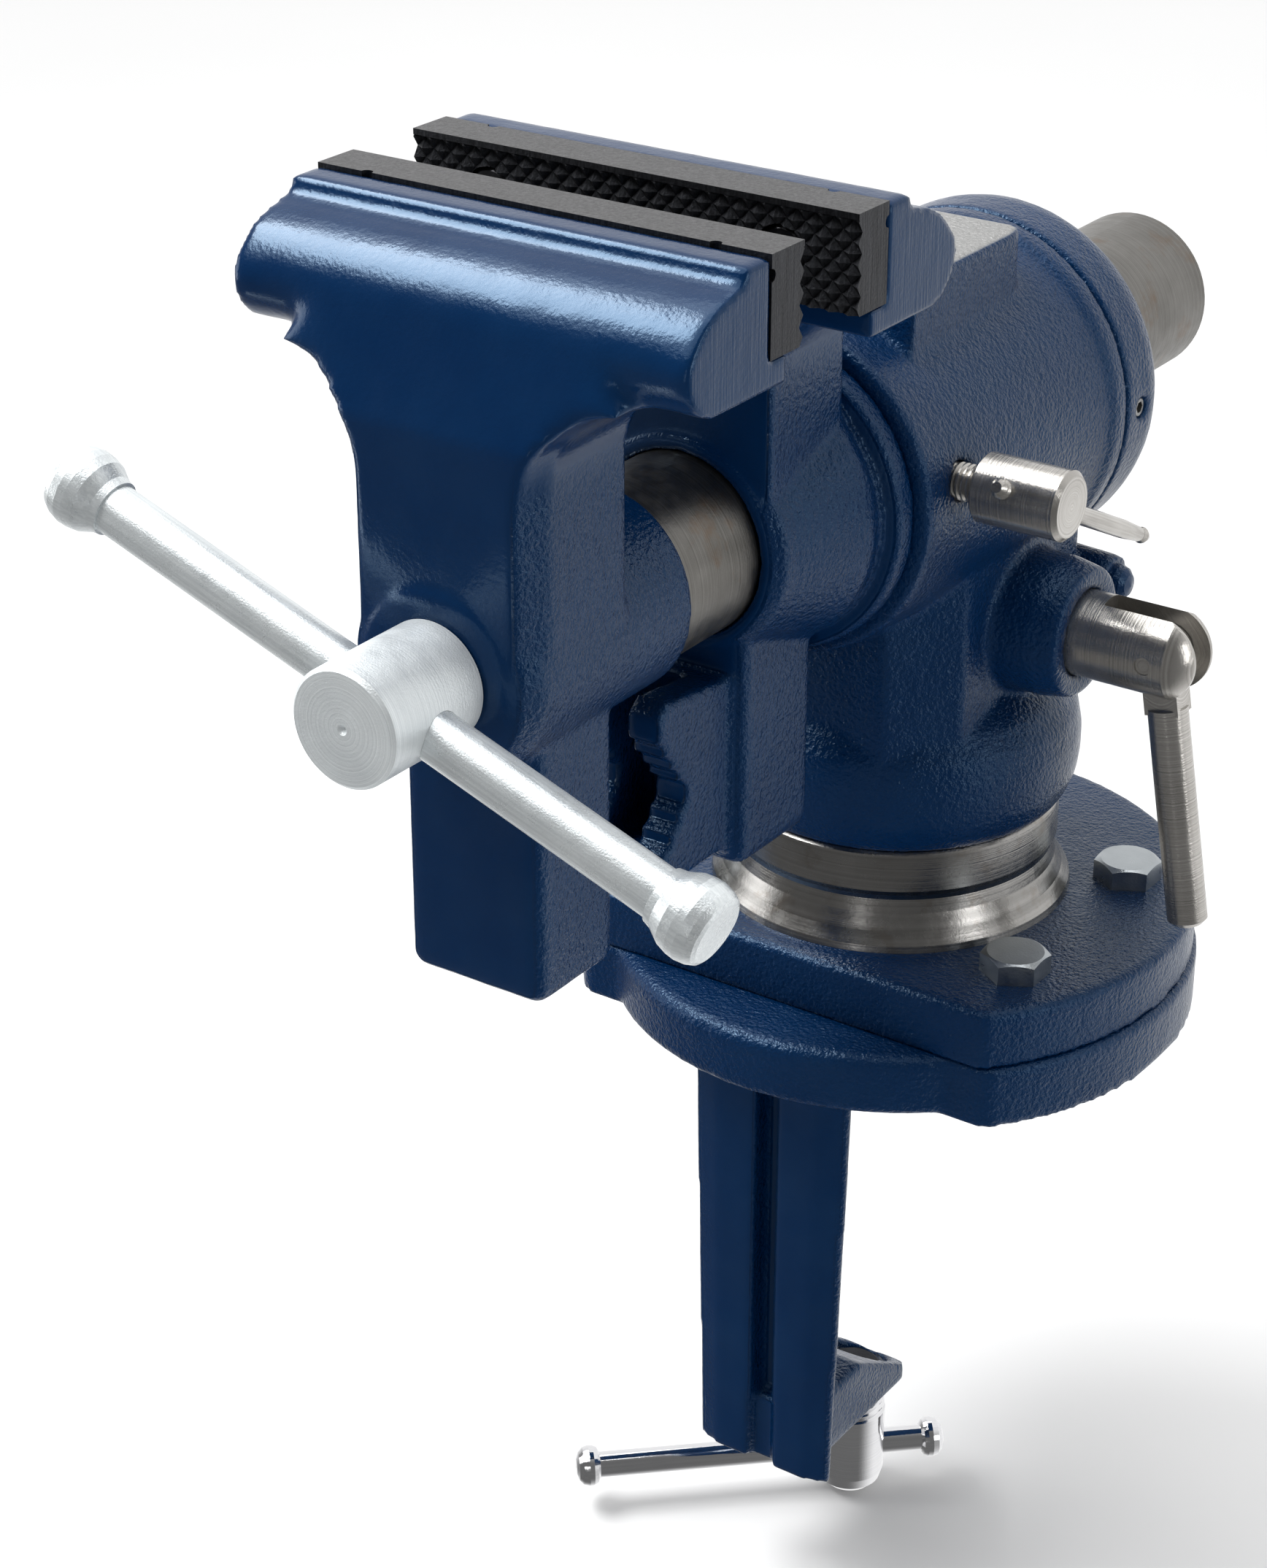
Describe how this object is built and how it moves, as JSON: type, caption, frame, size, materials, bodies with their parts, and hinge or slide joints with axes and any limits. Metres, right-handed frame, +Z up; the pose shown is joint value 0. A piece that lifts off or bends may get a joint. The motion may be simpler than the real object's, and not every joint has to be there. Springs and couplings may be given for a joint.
{
  "type": "bench vise",
  "caption": "Rotating-head bench vise on a swivel base with a table clamp: a screw inside a round slide tube drives the jaw, with pipe jaws below and an anvil behind.",
  "frame": {"origin": "where the swivel axis meets the table face of the clamp bracket", "axes": "+Z up along the swivel axis; +Y from the handle to the rear along the spindle; +X to the right, towards the locks"},
  "size_m": [0.1966, 0.378, 0.453],
  "materials": {
    "enamel": "navy gloss enamel over a cast skin",
    "turned_steel": "turned, bare",
    "tube_steel": "dark satin drawn steel",
    "zinc_steel": "zinc plated, fine grained",
    "nickel_steel": "brushed and nickel plated",
    "black_plate": "black oxide, ground top",
    "chrome_steel": "bright chrome",
    "brass_shoe": "machined"
  },
  "bodies": {
    "base": {"clamp_bracket": "enamel", "base_plate": "enamel", "swivel_spigot": "turned_steel", "base_bolts": "zinc_steel"},
    "swivel": {"housing": "enamel", "grease_plug": "enamel", "head_lock_shoe": "brass_shoe", "swivel_plunger": "nickel_steel"},
    "head": {"rear_jaw": "enamel", "rear_jaw_plate": "black_plate", "rear_plate_screws": "black_plate", "head_sleeve": "turned_steel", "retaining_ring": "enamel", "ring_screws": "black_plate", "spindle_nut": "turned_steel", "nut_stud": "turned_steel"},
    "jaw": {"front_jaw": "enamel", "front_jaw_plate": "black_plate", "front_plate_screws": "black_plate", "slide_tube": "tube_steel", "tube_grub": "black_plate"},
    "screw": {"spindle": "turned_steel", "spindle_head": "zinc_steel", "spindle_collar": "turned_steel", "collar_pin": "turned_steel"},
    "handle": {"handle_bar": "zinc_steel", "handle_knobs": "zinc_steel"},
    "head_lock": {"head_lock_screw": "nickel_steel"},
    "lock_bar": {"head_lock_bar": "nickel_steel"},
    "swivel_lock": {"swivel_shaft": "nickel_steel", "clevis_pin": "nickel_steel"},
    "lever": {"swivel_lever": "nickel_steel"},
    "pad": {"clamp_pad": "chrome_steel"},
    "clamp": {"clamp_screw": "chrome_steel"},
    "clamp_handle": {"clamp_bar": "chrome_steel", "clamp_bar_ends": "chrome_steel"}
  },
  "joints": [
    {"name": "swivel_turn", "type": "hinge", "parent": "base", "child": "swivel", "pos_m": [0, 0, 0.1], "axis": [0, 0, 1], "continuous": true},
    {"name": "head_turn", "type": "hinge", "parent": "swivel", "child": "head", "pos_m": [0, -0.02, 0.174], "axis": [0, 1, 0], "continuous": true},
    {"name": "jaw_slide", "type": "slide", "parent": "head", "child": "jaw", "axis": [0, 1, 0], "range_m": [-0.102, 0.0224]},
    {"name": "spindle_turn", "type": "hinge", "parent": "jaw", "child": "screw", "pos_m": [0, -0.2, 0.174], "axis": [0, 1, 0], "range_deg": [-7340, 1610]},
    {"name": "handle_slide", "type": "slide", "parent": "screw", "child": "handle", "axis": [0.9426, 0, -0.3338], "range_m": [-0.06, 0.068]},
    {"name": "head_lock_turn", "type": "hinge", "parent": "swivel", "child": "head_lock", "pos_m": [0.06, -0.0495, 0.1805], "axis": [1, 0, 0], "range_deg": [-4, 90]},
    {"name": "lock_bar_slide", "type": "slide", "parent": "head_lock", "child": "lock_bar", "axis": [0, 0.9003, -0.4352], "range_m": [-0.018, 0.003]},
    {"name": "swivel_lock_turn", "type": "hinge", "parent": "swivel", "child": "swivel_lock", "pos_m": [0.06, 0, 0.124], "axis": [1, 0, 0], "range_deg": [-60, 60]},
    {"name": "lever_fold", "type": "hinge", "parent": "swivel_lock", "child": "lever", "pos_m": [0.081, 0, 0.124], "axis": [0, 1, 0], "range_deg": [-80, 10]},
    {"name": "clamp_travel", "type": "slide", "parent": "base", "child": "pad", "axis": [0, 0, 1], "range_m": [0, 0.011]},
    {"name": "clamp_turn", "type": "hinge", "parent": "pad", "child": "clamp", "pos_m": [0, -0.0115, -0.15], "axis": [0, 0, 1], "range_deg": [0, 1584]},
    {"name": "clamp_bar_slide", "type": "slide", "parent": "clamp", "child": "clamp_handle", "axis": [0.7361, 0.6769, 0], "range_m": [-0.011, 0.068]}
  ],
  "couplings": [
    {"joint": "jaw_slide", "follows": "spindle_turn", "m_per_rad": 0.00079577},
    {"joint": "clamp_travel", "follows": "clamp_turn", "m_per_rad": 0.00039789}
  ]
}
